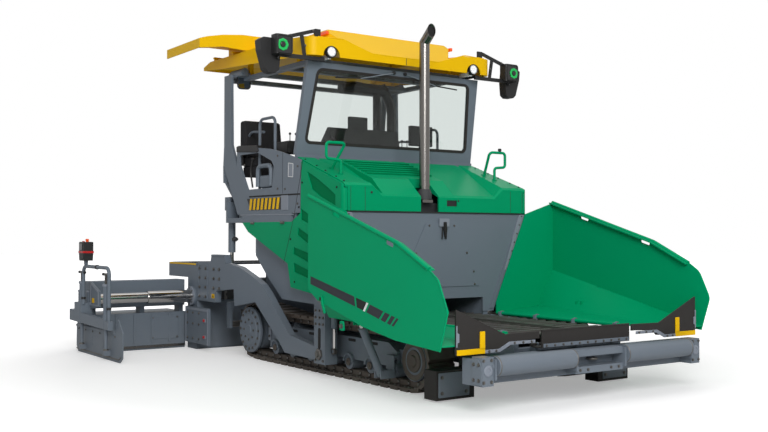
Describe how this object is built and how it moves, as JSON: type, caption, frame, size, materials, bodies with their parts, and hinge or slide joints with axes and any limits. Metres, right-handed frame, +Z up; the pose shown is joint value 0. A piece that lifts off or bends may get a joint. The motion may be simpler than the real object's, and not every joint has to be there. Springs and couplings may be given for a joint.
{
  "type": "tracked asphalt paver",
  "caption": "Tracked asphalt paver with a folding hopper, conveyor tunnel, augers, roofed platform and a towed screed whose ends slide out.",
  "frame": {"origin": "on the ground, under the middle of the machine's overall length and width", "axes": "+X is the direction of travel, towards the hopper and push rollers; +Y is the machine's left; +Z is up"},
  "size_m": [6.801, 5.44, 3.9],
  "materials": {
    "green_paint": "semi-gloss paint",
    "grey_paint": "semi-gloss paint",
    "yellow_paint": "semi-gloss paint",
    "track_steel": "worn",
    "worn_steel": "worn",
    "cast_block": "rough",
    "chrome": "polished",
    "rubber": "matt",
    "black_plastic": "matt",
    "lamp_glass": "clear over white",
    "glass": "clear",
    "seat_cover": "padded"
  },
  "bodies": {
    "machine": {"bulkhead": "grey_paint", "chassis": "grey_paint", "console": "black_plastic", "conveyor": "worn_steel", "engine": "cast_block", "exhaust": "chrome", "handrails": "grey_paint", "platform": "grey_paint", "platform_sides": "grey_paint", "roof": "yellow_paint", "roof_frame": "grey_paint", "seats": "seat_cover", "side_boxes": "grey_paint", "side_covers": "green_paint", "signal_lamps": "black_plastic", "tow_guides": "grey_paint", "track_frames": "grey_paint", "track_guards": "rubber", "track_left": "track_steel", "track_right": "track_steel", "windscreen": "glass", "windscreen_frame": "grey_paint", "wing_cylinder_feet": "grey_paint", "work_lights": "lamp_glass"},
    "hood": {"hood": "green_paint"},
    "apron": {"apron": "rubber"},
    "push_beam": {"push_beam": "grey_paint"},
    "screed": {"screed_body": "grey_paint", "walkway": "grey_paint", "tow_arms": "grey_paint"},
    "wing_right": {"wing_right": "green_paint", "wing_flap_right": "rubber"},
    "wing_barrel_right": {"wing_cylinder_barrel_right": "grey_paint"},
    "wing_rod_right": {"wing_cylinder_rod_right": "chrome"},
    "push_roller_right": {"push_roller_right": "grey_paint"},
    "auger_right": {"auger_right": "worn_steel"},
    "extension_right": {"extension_right": "grey_paint", "extension_tube_right": "chrome", "screed_console_right": "black_plastic"},
    "end_gate_right": {"end_gate_right": "grey_paint"},
    "lift_barrel_right": {"lift_cylinder_barrel_right": "grey_paint"},
    "lift_rod_right": {"lift_cylinder_rod_right": "chrome"},
    "awning_right": {"awning_right": "yellow_paint"},
    "wing_left": {"wing_left": "green_paint", "wing_flap_left": "rubber"},
    "wing_barrel_left": {"wing_cylinder_barrel_left": "grey_paint"},
    "wing_rod_left": {"wing_cylinder_rod_left": "chrome"},
    "push_roller_left": {"push_roller_left": "grey_paint"},
    "auger_left": {"auger_left": "worn_steel"},
    "extension_left": {"extension_left": "grey_paint", "extension_tube_left": "chrome", "screed_console_left": "black_plastic"},
    "end_gate_left": {"end_gate_left": "grey_paint"},
    "lift_barrel_left": {"lift_cylinder_barrel_left": "grey_paint"},
    "lift_rod_left": {"lift_cylinder_rod_left": "chrome"},
    "awning_left": {"awning_left": "yellow_paint"}
  },
  "joints": [
    {"name": "wing_right_fold", "type": "hinge", "parent": "machine", "child": "wing_right", "pos_m": [1.9795, -0.75, 0.62], "axis": [-1, 0, 0], "range_deg": [0, 43]},
    {"name": "wing_barrel_right_swing", "type": "hinge", "parent": "machine", "child": "wing_barrel_right", "pos_m": [1.6795, -1.25, 0.155], "axis": [-1, 0, 0], "range_deg": [-1, 26]},
    {"name": "wing_rod_right_slide", "type": "slide", "parent": "wing_barrel_right", "child": "wing_rod_right", "axis": [0, -0.4299, 0.9029], "range_m": [0, 0.445]},
    {"name": "push_roller_right_spin", "type": "hinge", "parent": "push_beam", "child": "push_roller_right", "pos_m": [3.3155, -0.79, 0.409], "axis": [0, 1, 0], "continuous": true},
    {"name": "auger_right_spin", "type": "hinge", "parent": "machine", "child": "auger_right", "pos_m": [-1.9205, -0.55, 0.36], "axis": [0, 1, 0], "continuous": true},
    {"name": "extension_right_slide", "type": "slide", "parent": "screed", "child": "extension_right", "axis": [0, 1, 0], "range_m": [0, 1.2]},
    {"name": "end_gate_right_lift", "type": "slide", "parent": "extension_right", "child": "end_gate_right", "axis": [0, 0, 1], "range_m": [0, 0.1]},
    {"name": "lift_barrel_right_swing", "type": "hinge", "parent": "machine", "child": "lift_barrel_right", "pos_m": [-1.7355, -1.145, 1.93], "axis": [0, 1, 0], "range_deg": [-10, 1]},
    {"name": "lift_rod_right_slide", "type": "slide", "parent": "lift_barrel_right", "child": "lift_rod_right", "axis": [0, 0, -1], "range_m": [-0.32, 0.002]},
    {"name": "awning_right_slide", "type": "slide", "parent": "machine", "child": "awning_right", "axis": [0, 1, 0], "range_m": [0, 0.4]},
    {"name": "wing_left_fold", "type": "hinge", "parent": "machine", "child": "wing_left", "pos_m": [1.9795, 0.75, 0.62], "axis": [1, 0, 0], "range_deg": [0, 43]},
    {"name": "wing_barrel_left_swing", "type": "hinge", "parent": "machine", "child": "wing_barrel_left", "pos_m": [1.6795, 1.25, 0.155], "axis": [1, 0, 0], "range_deg": [-1, 26]},
    {"name": "wing_rod_left_slide", "type": "slide", "parent": "wing_barrel_left", "child": "wing_rod_left", "axis": [0, 0.4299, 0.9029], "range_m": [0, 0.445]},
    {"name": "push_roller_left_spin", "type": "hinge", "parent": "push_beam", "child": "push_roller_left", "pos_m": [3.3155, 0.79, 0.409], "axis": [0, 1, 0], "continuous": true},
    {"name": "auger_left_spin", "type": "hinge", "parent": "machine", "child": "auger_left", "pos_m": [-1.9205, 0.55, 0.36], "axis": [0, 1, 0], "continuous": true},
    {"name": "extension_left_slide", "type": "slide", "parent": "screed", "child": "extension_left", "axis": [0, -1, 0], "range_m": [0, 1.2]},
    {"name": "end_gate_left_lift", "type": "slide", "parent": "extension_left", "child": "end_gate_left", "axis": [0, 0, 1], "range_m": [0, 0.1]},
    {"name": "lift_barrel_left_swing", "type": "hinge", "parent": "machine", "child": "lift_barrel_left", "pos_m": [-1.7355, 1.145, 1.93], "axis": [0, 1, 0], "range_deg": [-10, 1]},
    {"name": "lift_rod_left_slide", "type": "slide", "parent": "lift_barrel_left", "child": "lift_rod_left", "axis": [0, 0, -1], "range_m": [-0.32, 0.002]},
    {"name": "awning_left_slide", "type": "slide", "parent": "machine", "child": "awning_left", "axis": [0, -1, 0], "range_m": [0, 0.4]},
    {"name": "screed_lift", "type": "hinge", "parent": "machine", "child": "screed", "pos_m": [0.6235, 0, 0.245], "axis": [0, 1, 0], "range_deg": [0, 8]},
    {"name": "hood_lift", "type": "hinge", "parent": "machine", "child": "hood", "pos_m": [0.0915, 0, 2.328], "axis": [0, -1, 0], "range_deg": [0, 50]},
    {"name": "apron_fold", "type": "hinge", "parent": "machine", "child": "apron", "pos_m": [3.0395, 0, 0.52], "axis": [0, -1, 0], "range_deg": [0, 50]},
    {"name": "push_beam_swing", "type": "hinge", "parent": "machine", "child": "push_beam", "pos_m": [3.0395, 0, 0.365], "axis": [0, 0, 1], "range_deg": [-3, 3]}
  ],
  "couplings": [
    {"joint": "wing_barrel_right_swing", "follows": "wing_right_fold", "ratio": 0.58225},
    {"joint": "wing_rod_right_slide", "follows": "wing_right_fold", "m_per_rad": 0.58485},
    {"joint": "lift_barrel_right_swing", "follows": "screed_lift", "ratio": -1.1154},
    {"joint": "lift_rod_right_slide", "follows": "screed_lift", "m_per_rad": -2.2434},
    {"joint": "wing_barrel_left_swing", "follows": "wing_left_fold", "ratio": 0.58225},
    {"joint": "wing_rod_left_slide", "follows": "wing_left_fold", "m_per_rad": 0.58485},
    {"joint": "lift_barrel_left_swing", "follows": "screed_lift", "ratio": -1.1154},
    {"joint": "lift_rod_left_slide", "follows": "screed_lift", "m_per_rad": -2.2434}
  ]
}
